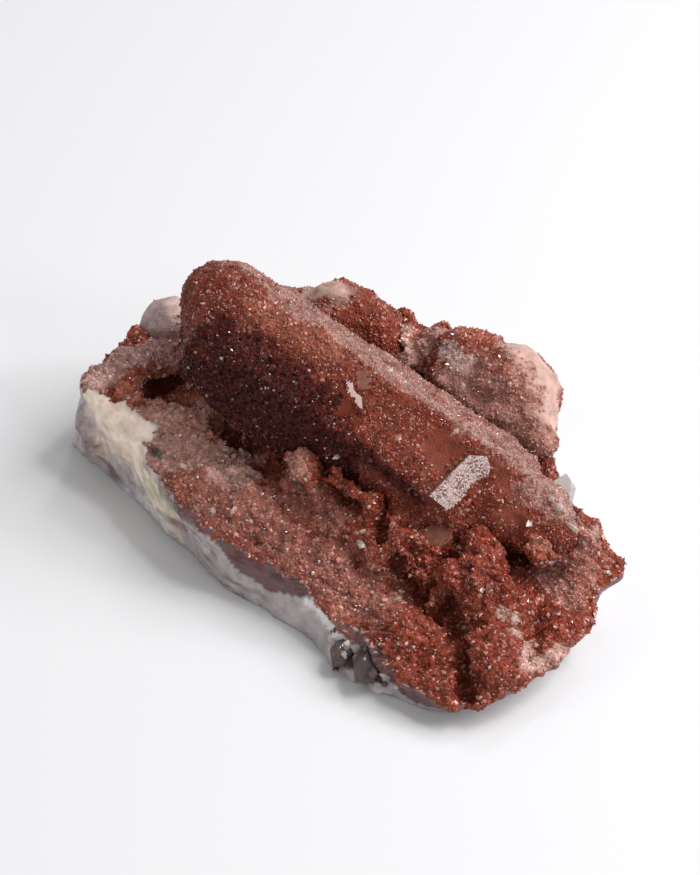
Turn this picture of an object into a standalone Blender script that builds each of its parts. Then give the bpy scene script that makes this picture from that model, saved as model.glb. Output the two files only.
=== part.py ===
"""Hematoid quartz on matrix.

A stout six-sided quartz crystal, red with hematite and coated with fine druse, lies across a
slab of quartz matrix. Three smaller druse-coated crystals stand behind it along the far edge, a
clear point leans out at the right, and two smoky points hang in the broken near side.

X runs along the main crystal, Y towards the far edge and Z up. The origin is in the resting
face. Places and sizes in the tables are millimetres, which MM turns to metres.
"""
import math

import bmesh
import bpy
import numpy as np
from mathutils import Matrix, Vector, noise

MM = 0.001

# Driving dimensions, in millimetres
GAP = 0.4                     # clearance between a crystal and its socket
SLAB_CENTRE = (-4.0, 3.0)     # the slab's outlines are read as radii about this place
SLAB_CROWN = 11.0             # height of the druse plane above the origin
SLAB_SLOPE = (-0.116, 0.149)  # how the druse plane rises along X and along Y
MAIN_FOOT = (-19.5, -0.7, 23.7)
MAIN_TIP = (29.0, 5.3, 7.0)
MAIN_RADIUS = 9.9
MAIN_DOME = 9.1               # radius of the rounded left end
MAIN_SHOULDER = (-23.9, 0.9, 27.3, 6.3, 6.3, 6.0)
BRIGHT_FACE = (15.4, -2.4, 19.6)          # a place on the bright face near the point
BRIGHT_FACE_NORMAL = (0.70, -0.43, 0.57)
MAIN_SETBACKS = (0.0, 3.0, 0.0, 2.0, 1.0, 0.0)
POINT_SETBACKS = (0.0, 1.2, 0.3, 0.9, 0.0, 0.6)
POINT_SLOPE = 38.2            # degrees between a quartz prism face and the point's face
EMBEDDED = 3.5                # how deep the crystals sit below the druse plane

# How fine the skins are: size of the cells that fuse them, and triangles left on each
SLAB_CELL = 0.8
CRYSTAL_CELL = 0.5
SLAB_TRIANGLES = 4200
MAIN_TRIANGLES = 1800
MAIN_SOCKET_TRIANGLES = 700
REAR_SOCKET_TRIANGLES = 350

# Roughness of the skins, as layers of noise: size of a bump, depth, seed
SLAB_ROUGHNESS = ((8.0, 1.3, 4.0), (3.2, 1.0, 11.0), (1.7, 0.5, 23.0))
MAIN_ROUGHNESS = ((6.0, 0.5, 31.0), (1.8, 0.35, 37.0))
REAR_ROUGHNESS = ((5.0, 0.9, 41.0), (2.0, 0.5, 47.0))
BROKEN_SHARE = 0.4            # how rough the broken sides are, beside the druse

# Edge of the druse plane, counter-clockwise from the left corner, as (x, y)
CROWN_EDGE = (
    (-37.6, -13.2), (-35.1, -13.2), (-26.9, -14.1), (-23.8, -16.1), (-17.9, -19.0),
    (-11.5, -20.5), (-6.4, -20.6), (1.7, -18.4), (8.5, -18.8), (15.4, -20.2), (21.6, -22.6),
    (27.0, -24.2), (29.8, -24.3), (33.8, -21.6), (35.8, -17.9), (37.0, -12.8), (38.8, -8.8),
    (37.9, -1.2), (36.6, 5.8), (35.2, 8.6), (33.0, 10.2), (29.3, 9.8), (25.2, 12.6),
    (20.2, 15.0), (16.4, 19.0), (11.0, 23.8), (3.0, 26.4), (-2.0, 25.4), (-8.0, 24.2),
    (-16.0, 24.8), (-25.0, 23.2), (-31.0, 18.0), (-36.0, 12.0), (-39.6, 5.6), (-41.6, -4.0),
    (-40.0, -9.4),
)
# Outline of the resting face, counter-clockwise from the left corner, as (x, y)
BASE_EDGE = (
    (-44.8, -9.0), (-40.8, -10.5), (-36.5, -11.1), (-30.9, -13.0), (-27.4, -13.5),
    (-21.8, -15.9), (-15.9, -16.9), (-10.9, -19.0), (-1.9, -20.0), (6.6, -20.6), (11.6, -22.8),
    (15.6, -23.6), (19.4, -23.6), (23.4, -22.9), (27.0, -21.5), (31.2, -17.5), (33.2, -15.2),
    (34.2, -8.0), (33.2, 0.0), (30.6, 6.6), (25.5, 12.6), (20.0, 18.0), (14.0, 22.6),
    (4.0, 26.4), (-12.0, 26.6), (-25.0, 25.0), (-35.5, 18.0), (-42.0, 8.0), (-44.4, -3.0),
)
SLAB_SPARE = 1.5              # stock below the resting face, cut off once the skin is rough
# Sections of the slab: share of the height, share of the base outline in the section's outline
SLAB_SECTIONS = ((0.0, 1.0), (0.25, 0.9), (0.6, 0.5), (1.0, 0.0))

# Rounded lumps that rise from the slab: x, y, z, radius along X, Y and Z
LUMPS = (
    (-4.9, -8.2, 15.4, 1.8, 1.8, 1.8), (-3.2, -5.8, 16.0, 2.0, 2.0, 2.0),
    (0.9, -7.4, 15.4, 2.5, 1.9, 2.1), (4.6, -7.8, 15.0, 2.5, 1.9, 2.1),
    (7.9, -7.8, 14.4, 2.2, 1.8, 2.1), (-3.4, -7.8, 13.0, 3.2, 2.2, 2.6),
    (2.6, -7.4, 12.0, 4.6, 2.2, 2.8), (8.4, -8.0, 11.4, 3.6, 2.2, 2.6),
    (3.2, -10.4, 9.8, 3.2, 2.2, 2.2), (8.2, -10.2, 10.0, 2.2, 2.1, 2.1),
    (11.6, -11.4, 9.3, 2.0, 1.9, 1.9), (13.8, -9.4, 11.0, 2.1, 1.8, 2.1),
    (16.6, -10.4, 9.6, 1.8, 1.6, 1.8), (24.8, -8.0, 9.2, 4.9, 4.6, 4.6),
    (32.2, -14.6, 6.0, 4.2, 4.2, 3.6), (28.2, 0.2, 11.8, 2.3, 2.1, 2.3),
    (21.6, -3.6, 11.0, 3.0, 2.6, 3.0), (29.4, 5.6, 9.6, 4.2, 4.2, 3.8),
    (16.2, -6.2, 11.0, 2.2, 1.7, 2.0), (-24.5, -7.9, 12.6, 4.4, 3.0, 2.7),
    (-21.0, -5.6, 12.6, 3.0, 2.4, 2.3), (-28.0, -10.6, 12.6, 3.8, 2.6, 1.8),
    (-17.4, -13.2, 10.6, 4.2, 3.4, 1.5), (-7.9, -13.0, 9.6, 4.0, 3.4, 1.7),
    (-1.5, -13.9, 9.0, 3.6, 3.2, 1.7), (5.1, -14.6, 8.0, 3.4, 2.9, 1.7),
    (13.0, -15.2, 6.6, 3.8, 3.2, 1.8), (20.5, -17.2, 5.6, 4.0, 3.4, 1.8),
    (27.6, -20.4, 3.9, 3.2, 2.8, 1.8), (34.4, 7.6, 7.0, 1.9, 1.8, 2.0),
    (34.2, -3.5, 5.8, 3.0, 4.4, 2.0), (-38.9, -11.6, 6.0, 2.6, 2.4, 4.2),
)
# The druse-coated rim that rises at the left end, and the ledge along the far edge
RIM = (
    (-37.6, -8.0, 12.6, 3.4, 3.4, 3.6), (-35.8, -5.2, 14.0, 3.8, 3.4, 3.4),
    (-32.8, -2.8, 15.2, 4.0, 3.4, 3.6), (-29.6, -0.4, 16.2, 4.0, 3.8, 3.8),
    (-12.0, 20.5, 15.0, 4.6, 4.4, 3.6), (-7.5, 21.0, 14.8, 4.6, 4.0, 3.8),
    (-3.8, 22.2, 16.4, 3.8, 3.6, 4.0), (1.6, 14.5, 12.6, 4.4, 4.0, 3.0),
)
# Hollows in the druse: under the main crystal's left end, beside the rear crystals, in the lumps
HOLLOWS = (
    (-28.4, -5.0, 14.0, 4.4, 2.0, 2.0), (-14.2, -9.0, 12.8, 4.0, 2.2, 2.8),
    (-5.8, 13.6, 15.0, 4.6, 3.2, 3.4), (20.4, -13.2, 8.0, 3.2, 1.8, 1.7),
    (26.8, -14.8, 6.8, 1.7, 3.2, 1.7), (3.6, -9.4, 12.2, 5.2, 0.8, 1.2),
    (18.6, -7.4, 11.0, 1.4, 2.6, 1.9),
)

# Smaller crystals behind the main one: foot, tip, radius, rounded knobs, triangles
REAR_CRYSTALS = {
    "rear_right_crystal": (
        (0.4, 20.8, 15.6), (20.4, 15.2, 13.6), 7.4,
        ((2.6, 20.2, 17.2, 6.0, 5.6, 5.6), (9.4, 19.4, 16.4, 6.8, 6.6, 7.4)), 650),
    "rear_middle_crystal": (
        (-22.6, 18.8, 15.6), (-7.6, 19.4, 14.2), 6.4,
        ((-18.6, 18.8, 16.2, 6.6, 5.6, 6.4), (-13.4, 19.2, 15.2, 5.6, 5.2, 5.6)), 450),
    "rear_left_crystal": (
        (-38.8, 5.8, 9.2), (-37.6, 4.8, 20.4), 4.2,
        ((-38.0, 5.2, 14.6, 4.2, 4.0, 4.8),), 250),
}
# Crystal grown along the far side of the main one's point: foot, tip, radius
BACK_PRISM = ((18.2, 3.8, 15.1), (31.4, 5.9, 10.8), 5.0)
# Druse lumps grown over the main crystal's point
POINT_LUMPS = (
    (21.7, 0.1, 13.7, 2.8, 2.6, 2.8), (24.9, 1.7, 12.3, 2.8, 2.6, 2.8),
    (28.4, 4.0, 12.2, 2.8, 2.8, 2.8),
)
# Small crystals grown into the main one: foot, tip, radius
SIDE_CRYSTALS = (
    ((-3.9, -2.7, 24.3), (1.9, -2.9, 24.7), 2.2),
    ((-2.1, -0.1, 25.9), (2.9, -0.5, 25.3), 1.7),
    ((8.8, -6.9, 12.5), (14.7, -6.5, 11.5), 1.9),
)
# The clear point and the smoky points: foot, tip, radius
SMALL_POINTS = {
    "clear_point": ((24.2, 10.2, 6.6), (24.8, 12.4, 16.4), 2.0),
    "smoky_point_1": ((13.2, -18.0, 2.4), (13.9, -25.8, 1.9), 1.6),
    "smoky_point_2": ((17.6, -18.2, 2.9), (18.4, -26.8, 2.5), 2.3),
}

RED_DRUSE = (0.145, 0.030, 0.020, 1.0)
MATRIX_RED = (0.120, 0.028, 0.022, 1.0)
PALE_SKIN = (0.420, 0.270, 0.220, 1.0)
CLEAR = (0.800, 0.800, 0.800, 1.0)
SMOKY = (0.130, 0.120, 0.130, 1.0)


def empty_the_scene():
    """Remove what the file holds, so that the script always starts from nothing."""
    for thing in list(bpy.data.objects):
        bpy.data.objects.remove(thing, do_unlink=True)


def collection(name):
    """A new collection under the scene's own."""
    made = bpy.data.collections.new(name)
    bpy.context.scene.collection.children.link(made)
    return made


def material(name, colour, roughness, transmission=0.0):
    """A Principled material with one colour."""
    made = bpy.data.materials.new(name)
    made.use_nodes = True
    shader = made.node_tree.nodes["Principled BSDF"]
    shader.inputs["Base Color"].default_value = colour
    shader.inputs["Roughness"].default_value = roughness
    shader.inputs["Metallic"].default_value = 0.0
    shader.inputs["IOR"].default_value = 1.544
    shader.inputs["Transmission Weight"].default_value = transmission
    return made


def thing_from(bm, name, group):
    """Write a bmesh to a new object in the collection."""
    bmesh.ops.recalc_face_normals(bm, faces=bm.faces[:])
    mesh = bpy.data.meshes.new(name)
    bm.to_mesh(mesh)
    bm.free()
    thing = bpy.data.objects.new(name, mesh)
    group.objects.link(thing)
    return thing


def settle(thing):
    """Replace the object's mesh with the one that its modifiers make."""
    bpy.context.view_layer.update()
    seen = thing.evaluated_get(bpy.context.evaluated_depsgraph_get())
    mesh = bpy.data.meshes.new_from_object(seen)
    thing.modifiers.clear()
    thing.data = mesh


def radii(outline, angles):
    """Distance from the slab's centre to a closed outline, in each of the directions."""
    offsets = np.array(outline) - np.array(SLAB_CENTRE)
    bearing = np.arctan2(offsets[:, 1], offsets[:, 0])
    reach = np.hypot(offsets[:, 0], offsets[:, 1])
    order = np.argsort(bearing)
    return np.interp(angles, bearing[order], reach[order], period=2 * math.pi)


def druse_plane(x, y):
    """Height of the druse plane over a place on the base, in millimetres."""
    return SLAB_CROWN + SLAB_SLOPE[0] * x + SLAB_SLOPE[1] * y


def add_slab(bm, steps=96):
    """Loft the slab from the outline of its base to the edge of its druse plane."""
    angles = np.linspace(-math.pi, math.pi, steps, endpoint=False)
    base, crown = radii(BASE_EDGE, angles), radii(CROWN_EDGE, angles)
    loops = []
    for height, base_share in SLAB_SECTIONS:
        loop = []
        for angle, radius in zip(angles, base_share * base + (1.0 - base_share) * crown):
            x = SLAB_CENTRE[0] + radius * math.cos(angle)
            y = SLAB_CENTRE[1] + radius * math.sin(angle)
            z = height * druse_plane(x, y) - (1.0 - height) * SLAB_SPARE
            loop.append(bm.verts.new(Vector((x, y, z)) * MM))
        loops.append(loop)
    for lower, upper in zip(loops, loops[1:]):
        for i in range(steps):
            j = (i + 1) % steps
            bm.faces.new((lower[i], lower[j], upper[j], upper[i]))
    for loop in (loops[0], loops[-1]):
        middle = bm.verts.new(sum((v.co for v in loop), Vector()) / steps)
        for i in range(steps):
            bm.faces.new((loop[i], loop[(i + 1) % steps], middle))


def add_lump(bm, x, y, z, rx, ry, rz):
    """One rounded lump, as an ellipsoid."""
    place = Matrix.Translation(Vector((x, y, z)) * MM) @ Matrix.Diagonal((rx, ry, rz, 1.0))
    bmesh.ops.create_icosphere(bm, subdivisions=3, radius=MM, matrix=place)


def crystal_frame(foot, tip):
    """Matrix with Z from foot to tip and X as near to straight up as the axis lets it be."""
    axis = (Vector(tip) - Vector(foot)).normalized()
    up = Vector((0.0, 0.0, 1.0)) if abs(axis.z) < 0.95 else Vector((0.0, 1.0, 0.0))
    up = (up - axis * up.dot(axis)).normalized()
    side = axis.cross(up)
    rows = Matrix((up, side, axis)).transposed().to_4x4()
    return Matrix.Translation(Vector(foot) * MM) @ rows


def cut(bm, point, normal):
    """Cut off all that lies past a plane and close the cut."""
    geometry = bm.verts[:] + bm.edges[:] + bm.faces[:]
    made = bmesh.ops.bisect_plane(
        bm, geom=geometry, dist=1e-7, plane_co=point, plane_no=normal, clear_outer=True)
    rim = [part for part in made["geom_cut"] if isinstance(part, bmesh.types.BMEdge)]
    if rim:
        bmesh.ops.holes_fill(bm, edges=rim, sides=0)


def prism(foot, tip, radius, setbacks=POINT_SETBACKS):
    """A six-sided crystal from foot to tip, with an edge on top and a quartz point at the tip.

    Each setback, in millimetres, is how far the point's face over one prism face has moved back
    from the common apex, counted from the upper near face round the axis.
    """
    length = (Vector(tip) - Vector(foot)).length
    bm = bmesh.new()
    turn = Matrix.Rotation(math.radians(30), 4, "Z")
    place = Matrix.Translation((0.0, 0.0, length * MM / 2)) @ turn
    bmesh.ops.create_cone(
        bm, cap_ends=True, segments=6, radius1=radius * MM, radius2=radius * MM,
        depth=length * MM, matrix=place)
    lean = math.radians(POINT_SLOPE)
    for face, setback in enumerate(setbacks):
        angle = math.radians(30 + 60 * face)
        out = math.cos(lean)
        normal = Vector((math.cos(angle) * out, math.sin(angle) * out, math.sin(lean)))
        cut(bm, Vector((0.0, 0.0, (length - setback) * MM)), normal)
    bm.transform(crystal_frame(foot, tip))
    return bm


def merge(bm, other):
    """Add a second bmesh to the first."""
    mesh = bpy.data.meshes.new("merged")
    other.to_mesh(mesh)
    other.free()
    bm.from_mesh(mesh)
    bpy.data.meshes.remove(mesh)


def grow_together(thing, voxel, smooth=0):
    """Fuse the overlapping shapes of a mesh to one skin."""
    fuse = thing.modifiers.new("Fuse", "REMESH")
    fuse.mode = "VOXEL"
    fuse.voxel_size = voxel * MM
    if smooth:
        soften = thing.modifiers.new("Soften", "SMOOTH")
        soften.iterations = smooth
    settle(thing)


def roughen(thing, layers, calm=None):
    """Move each point of the skin along its normal by layers of noise (size, depth, seed)."""
    mesh = thing.data
    moves = []
    for vertex in mesh.vertices:
        place = vertex.co / MM
        amount = 0.0
        for size, depth, seed in layers:
            amount += depth * noise.noise(place / size + Vector((seed, 3.1 * seed, 0.0)))
        if calm:
            amount *= calm(place)
        moves.append(vertex.co + vertex.normal * amount * MM)
    for vertex, place in zip(mesh.vertices, moves):
        vertex.co = place
    mesh.update()


def thin_out(thing, triangles):
    """Bring the mesh down to about this many triangles."""
    count = sum(len(polygon.vertices) - 2 for polygon in thing.data.polygons)
    if count > triangles:
        thin = thing.modifiers.new("Thin", "DECIMATE")
        thin.ratio = triangles / count
        settle(thing)


def trim(thing, planes):
    """Cut an object by planes given as (point in millimetres, outward normal)."""
    bm = bmesh.new()
    bm.from_mesh(thing.data)
    for point, normal in planes:
        cut(bm, Vector(point) * MM, Vector(normal).normalized())
    bmesh.ops.triangulate(bm, faces=bm.faces[:])
    bmesh.ops.dissolve_degenerate(bm, dist=2e-5, edges=bm.edges[:])
    bmesh.ops.recalc_face_normals(bm, faces=bm.faces[:])
    bm.to_mesh(thing.data)
    bm.free()


def socket_cutter(thing, group, triangles=0):
    """A copy of a crystal, larger by the gap all round, that cuts its socket.

    A rough crystal's copy is fused again and brought down to the number of triangles.
    """
    cutter = bpy.data.objects.new(thing.name + "_socket", thing.data.copy())
    group.objects.link(cutter)
    mesh = cutter.data
    places = [vertex.co + vertex.normal * GAP * MM for vertex in mesh.vertices]
    for vertex, place in zip(mesh.vertices, places):
        vertex.co = place
    cutter.hide_render = True
    cutter.display_type = "WIRE"
    if triangles:
        grow_together(cutter, CRYSTAL_CELL)
        thin_out(cutter, triangles)
    return cutter


def take_away(thing, cutter):
    """Cut one solid out of another."""
    bite = thing.modifiers.new("Bite", "BOOLEAN")
    bite.operation = "DIFFERENCE"
    bite.solver = "EXACT"
    bite.object = cutter
    settle(thing)


def keep_largest(thing):
    """Drop the crumbs that a cut leaves loose."""
    bm = bmesh.new()
    bm.from_mesh(thing.data)
    left = set(bm.verts)
    islands = []
    while left:
        island = set()
        reach = [left.pop()]
        while reach:
            vertex = reach.pop()
            island.add(vertex)
            for edge in vertex.link_edges:
                other = edge.other_vert(vertex)
                if other in left:
                    left.discard(other)
                    reach.append(other)
        islands.append(island)
    islands.sort(key=len)
    for island in islands[:-1]:
        bmesh.ops.delete(bm, geom=list(island), context="VERTS")
    bm.to_mesh(thing.data)
    bm.free()


def under_the_druse(depth):
    """The plane this far below the druse plane, as a point and a normal that faces down."""
    return (0.0, 0.0, SLAB_CROWN - depth), (SLAB_SLOPE[0], SLAB_SLOPE[1], -1.0)


def druse_share(place):
    """How rough the slab is at a place: full on the druse, less on the broken sides."""
    below = druse_plane(place.x, place.y) - place.z
    return 1.0 - (1.0 - BROKEN_SHARE) * min(max(below - 1.0, 0.0), 1.0)


def dress(thing, skin):
    """Give the object its one material."""
    thing.data.materials.clear()
    thing.data.materials.append(skin)


def make_matrix(group, skin):
    """The slab with its lumps, rim and hollows, before the sockets are cut."""
    bm = bmesh.new()
    add_slab(bm)
    for lump in LUMPS + RIM:
        add_lump(bm, *lump)
    slab = thing_from(bm, "matrix", group)
    grow_together(slab, SLAB_CELL, smooth=1)
    bm = bmesh.new()
    for hollow in HOLLOWS:
        add_lump(bm, *hollow)
    pits = thing_from(bm, "pits", group)
    take_away(slab, pits)
    bpy.data.objects.remove(pits)
    grow_together(slab, SLAB_CELL)
    roughen(slab, SLAB_ROUGHNESS, druse_share)
    thin_out(slab, SLAB_TRIANGLES)
    trim(slab, (((0.0, 0.0, 0.0), (0.0, 0.0, -1.0)),))
    dress(slab, skin)
    return slab


def make_main_crystal(group, skin):
    """The stout crystal: a prism with a rounded left end, druse on its point and one bright face."""
    bm = bmesh.new()
    merge(bm, prism(MAIN_FOOT, MAIN_TIP, MAIN_RADIUS, MAIN_SETBACKS))
    add_lump(bm, *MAIN_FOOT, MAIN_DOME, MAIN_DOME, MAIN_DOME)
    add_lump(bm, *MAIN_SHOULDER)
    for foot, tip, radius in SIDE_CRYSTALS:
        merge(bm, prism(foot, tip, radius))
    crystal = thing_from(bm, "main_crystal", group)
    grow_together(crystal, CRYSTAL_CELL)
    roughen(crystal, MAIN_ROUGHNESS)
    trim(crystal, ((BRIGHT_FACE, BRIGHT_FACE_NORMAL),))
    bm = bmesh.new()
    bm.from_mesh(crystal.data)
    merge(bm, prism(*BACK_PRISM))
    for lump in POINT_LUMPS:
        add_lump(bm, *lump)
    bm.to_mesh(crystal.data)
    bm.free()
    grow_together(crystal, CRYSTAL_CELL)
    thin_out(crystal, MAIN_TRIANGLES)
    trim(crystal, (under_the_druse(EMBEDDED),))
    dress(crystal, skin)
    return crystal


def make_rear_crystal(name, group, skin):
    """One of the druse-coated crystals along the far edge."""
    foot, tip, radius, knobs, triangles = REAR_CRYSTALS[name]
    bm = prism(foot, tip, radius)
    for knob in knobs:
        add_lump(bm, *knob)
    crystal = thing_from(bm, name, group)
    grow_together(crystal, CRYSTAL_CELL)
    roughen(crystal, REAR_ROUGHNESS)
    thin_out(crystal, triangles)
    trim(crystal, (under_the_druse(EMBEDDED),))
    dress(crystal, skin)
    return crystal


def make_point(name, group, skin):
    """A small glassy point, bare of druse."""
    foot, tip, radius = SMALL_POINTS[name]
    point = thing_from(prism(foot, tip, radius), name, group)
    dress(point, skin)
    return point


def main():
    empty_the_scene()
    pieces = collection("hematoid_quartz_on_matrix")
    cutters = collection("socket_cutters")
    red = material("red_druse", RED_DRUSE, 0.4)
    pale = material("pale_skin", PALE_SKIN, 0.35)
    clear = material("clear_quartz", CLEAR, 0.05, 1.0)
    smoky = material("smoky_quartz", SMOKY, 0.08, 0.8)
    matrix = make_matrix(pieces, material("matrix_quartz", MATRIX_RED, 0.45))
    crystal = make_main_crystal(pieces, red)
    main_socket = socket_cutter(crystal, cutters, MAIN_SOCKET_TRIANGLES)
    take_away(matrix, main_socket)
    for name in REAR_CRYSTALS:
        rear = make_rear_crystal(name, pieces, pale)
        take_away(rear, main_socket)
        keep_largest(rear)
        take_away(matrix, socket_cutter(rear, cutters, REAR_SOCKET_TRIANGLES))
    for name in SMALL_POINTS:
        point = make_point(name, pieces, clear if name == "clear_point" else smoky)
        take_away(matrix, socket_cutter(point, cutters))
    keep_largest(matrix)


main()
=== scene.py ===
"""Hematoid quartz on matrix: the looks.

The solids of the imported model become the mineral: a stout quartz crystal under a red coat of fine
druse, a druse-topped slab of pale quartz with a broken side, frosted crystals behind, bare crystal
faces, and clear and smoky points. The frame is in metres, +Z up; values here are millimetres, which
MM turns to metres, and places read from the photograph are its pixels.
"""
import math

import bpy
import numpy as np
from mathutils import Matrix, Vector
from mathutils.bvhtree import BVHTree


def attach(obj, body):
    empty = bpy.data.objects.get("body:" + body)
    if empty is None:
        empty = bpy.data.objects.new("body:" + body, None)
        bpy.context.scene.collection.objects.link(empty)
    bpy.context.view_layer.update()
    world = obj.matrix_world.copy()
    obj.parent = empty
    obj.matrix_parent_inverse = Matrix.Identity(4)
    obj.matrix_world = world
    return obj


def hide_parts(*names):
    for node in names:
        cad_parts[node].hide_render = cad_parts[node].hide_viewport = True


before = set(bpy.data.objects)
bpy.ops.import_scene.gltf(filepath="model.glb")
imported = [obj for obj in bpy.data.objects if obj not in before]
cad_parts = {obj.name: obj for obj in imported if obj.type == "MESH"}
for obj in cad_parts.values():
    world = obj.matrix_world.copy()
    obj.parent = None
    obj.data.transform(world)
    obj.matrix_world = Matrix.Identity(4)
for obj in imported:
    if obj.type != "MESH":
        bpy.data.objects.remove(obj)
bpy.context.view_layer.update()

bl_info = {
    "name": "Hematoid quartz on matrix",
    "version": (1, 0, 0),
    "blender": (4, 5, 0),
    "location": "View3D > Sidebar > Hematoid quartz",
    "description": "Dresses the solids of a red quartz specimen as druse, crystal faces and rock",
    "category": "Add Mesh",
}

MM = 0.001
WELD = 1e-6                   # metres within which a solid's loose corners are one

# The photograph and the camera that took it
IMAGE = (700, 875)
LENS = 130.0
SENSOR = 36.0
CAMERA_TURN = math.radians(38)
CAMERA_LIFT = math.radians(38)
CAMERA_TARGET = Vector((-14.9, 15.9, 0.0)) * MM
CAMERA_DISTANCE = 442.0 * MM
TOWARDS_CAMERA = Vector((
    math.sin(CAMERA_TURN) * math.cos(CAMERA_LIFT),
    -math.cos(CAMERA_TURN) * math.cos(CAMERA_LIFT),
    math.sin(CAMERA_LIFT)))
CAMERA_RIGHT = Vector((math.cos(CAMERA_TURN), math.sin(CAMERA_TURN), 0.0))
CAMERA_UP = TOWARDS_CAMERA.cross(CAMERA_RIGHT)
CAMERA_PLACE = CAMERA_TARGET + TOWARDS_CAMERA * CAMERA_DISTANCE
FOCAL_PIXELS = LENS / SENSOR * IMAGE[1]

# The slab: middle of its outline, and the druse plane's height and rise along X and Y
SLAB_MIDDLE = np.array((-4.0, 3.0)) * MM
DRUSE_PLANE = (11.0 * MM, -0.116, 0.149)

# Cells that the solids' skins are divided into, in mm
MATRIX_CELL = 0.46
MAIN_CELL = 0.42
REAR_CELL = 0.48

# Skins that carry druse: piece, node, slot, cell; times the grains' width and tone; their seed
SKINS = (
    ("matrix_rock", "matrix", "matrix_quartz", MATRIX_CELL, 1.05, 1.15, 101),
    ("main_skin", "main_crystal", "red_druse", MAIN_CELL, 0.9, 0.88, 201),
    ("rear_right_skin", "rear_right_crystal", "pale_skin", REAR_CELL, 0.95, 1.05, 301),
    ("rear_middle_skin", "rear_middle_crystal", "pale_skin", REAR_CELL, 0.95, 1.05, 401),
    ("rear_left_skin", "rear_left_crystal", "pale_skin", REAR_CELL, 0.95, 1.05, 501),
)

# The grains of the druse
GRAINS_A_CELL = 2             # draws on each cell that may put a grain there
DENSITY = 0.72                # share of the draws that do
TALL_SHARE = 0.13             # share of the red grains that are taller and mirror the lamps
COVERED = 0.8                 # mm of room under which a neighbour hides the skin
PIECE_LIMIT = 190000          # triangles of one mesh of grains
GRAIN_TRIANGLES = 10          # triangles of a grain without a prism
WIDTHS = (0.2 * MM, 0.9 * MM)  # least and largest width
WIDTH_SPREAD = 0.28           # how far widths lie from the mean
LENGTHS = (0.3, 0.65)         # least and largest length, as a share of the width
JITTER = (0.8, 1.2)           # range of a grain's corners, as a share of their offset
TIP_SHIFT = 0.14              # how far tips stand off their middle, as a share of the width
SUNK = 0.3                    # share of a grain's length that lies in the skin
LEAN = 0.17                   # how far grains lean to all sides
LARGE_LEAN = 0.45             # how far the larger points lean
GROUND = 0.05 * MM            # grains keep this far above the floor
RIM_STEP = 0.16               # mm between the grains that creep over a bare face's rim
RIM_SPREAD = 0.25             # mm that they stand off the rim
RIM_WIDTH = 0.4               # mm, their mean width

# The slab's skin: it meets the crystals over their gap, sinks in hollows and is broken at its side
MEET_REACH = 1.3              # mm from a crystal at which the skin moves
MEET_PUSH = 0.7               # mm that it moves where it touches
HOLLOW = 2.3                  # mm that the darkest hollows lie deeper
LIP = 0.45                    # mm under the druse plane at which the broken side begins
LIP_WAVES = 0.35              # mm that the lip goes up and down
LIP_SHARE = 0.95              # share of the slab's radius within which the lip lies deeper
LIP_SLOPE = 22.0              # mm that it lies deeper a whole radius further in
DRUSE_SHARE = 0.84            # share of the slab's radius within which all is druse
FACES_OUT = 0.3               # least outward part of a broken face's normal
FACES_UP = 0.8                # largest upward part of a broken face's normal
FACES_DOWN = -0.25            # upward part under which all is broken
WHOLE_FROM = 0.2              # share of a whole zone from which no rock is laid open
OPEN_FROM = 0.3               # share of a broken zone from which rock is laid open
HIDDEN_DEPTH = 12.0 * MM      # how far behind the slab's middle its side is wholly the hidden one
FLAT = 0.3 * MM               # height under which the base stays flat

# Layers of roughness on the skins: size of a bump and its depth, both in mm
MATRIX_LAYERS = ((3.0, 1.2), (1.3, 1.15))
MAIN_LAYERS = ((2.6, 0.45), (0.9, 0.32))
REAR_CHIPS = ((9.0, 2.6), (4.0, 1.6), (1.6, 0.5))
REAR_LAYERS = ((2.4, 0.6), (0.9, 0.3))
WEIGHT_STEPS = 20             # steps in which the roughness fades
BARE_CALM = 0.7               # share of the roughness that bare skin lacks
SIDE_CALM = 0.65              # and that the slab's broken side lacks

# Zones on a skin: a line of pixels, a radius in mm and a strength. First those of the tints
PALE = {
    "matrix": (
        # Partly painted light: the first, third and fourth lines, at the slab's left and on the
        # ledge behind the main crystal, are its paler frost raised further to lift their shade
        (((165, 450), (200, 455), (240, 470)), 3.4, 0.75),
        (((200, 490), (260, 520), (320, 560), (370, 600)), 4.0, 0.21),
        (((160, 415), (195, 410)), 3.6, 0.6),
        (((380, 340), (440, 345)), 4.0, 1.0),
        (((296, 460), (300, 462)), 1.8, 0.4),
        (((560, 530), (590, 548), (575, 580)), 3.0, 0.2),
        (((552, 572), (568, 600)), 1.9, 0.32),
        (((255, 490), (300, 500), (330, 520)), 3.0, 0.2),
        (((80, 415), (86, 440), (96, 465)), 3.0, 0.5),
        (((525, 664), (545, 661), (562, 651)), 1.0, 0.8),
        (((570, 521), (580, 528), (592, 535)), 0.9, 0.9),
        (((92, 385), (100, 360), (118, 343)), 2.2, 0.9),
        (((226, 452), (240, 452)), 0.8, 0.8),
        (((500, 614), (514, 618)), 0.9, 0.8),
        (((516, 630), (528, 645), (526, 660)), 0.9, 0.8),
        (((335, 625), (350, 645), (375, 675), (400, 700)), 0.6, 0.5),
    ),
    "main_crystal": (
        (((345, 338), (372, 355), (402, 378), (430, 402), (462, 424), (492, 446), (520, 465),
          (548, 485), (566, 502)), 1.0, 0.45),
        (((535, 490), (562, 505), (574, 520)), 2.0, 0.5),
    ),
    "rear_right_crystal": (
        (((460, 380), (500, 400), (540, 440)), 4.0, 0.4),
        (((500, 336), (524, 346), (543, 364), (552, 388), (555, 412)), 3.4, 1.0),
    ),
    "rear_middle_crystal": (
        (((312, 288), (335, 290)), 2.2, 0.9),
    ),
}
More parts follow.
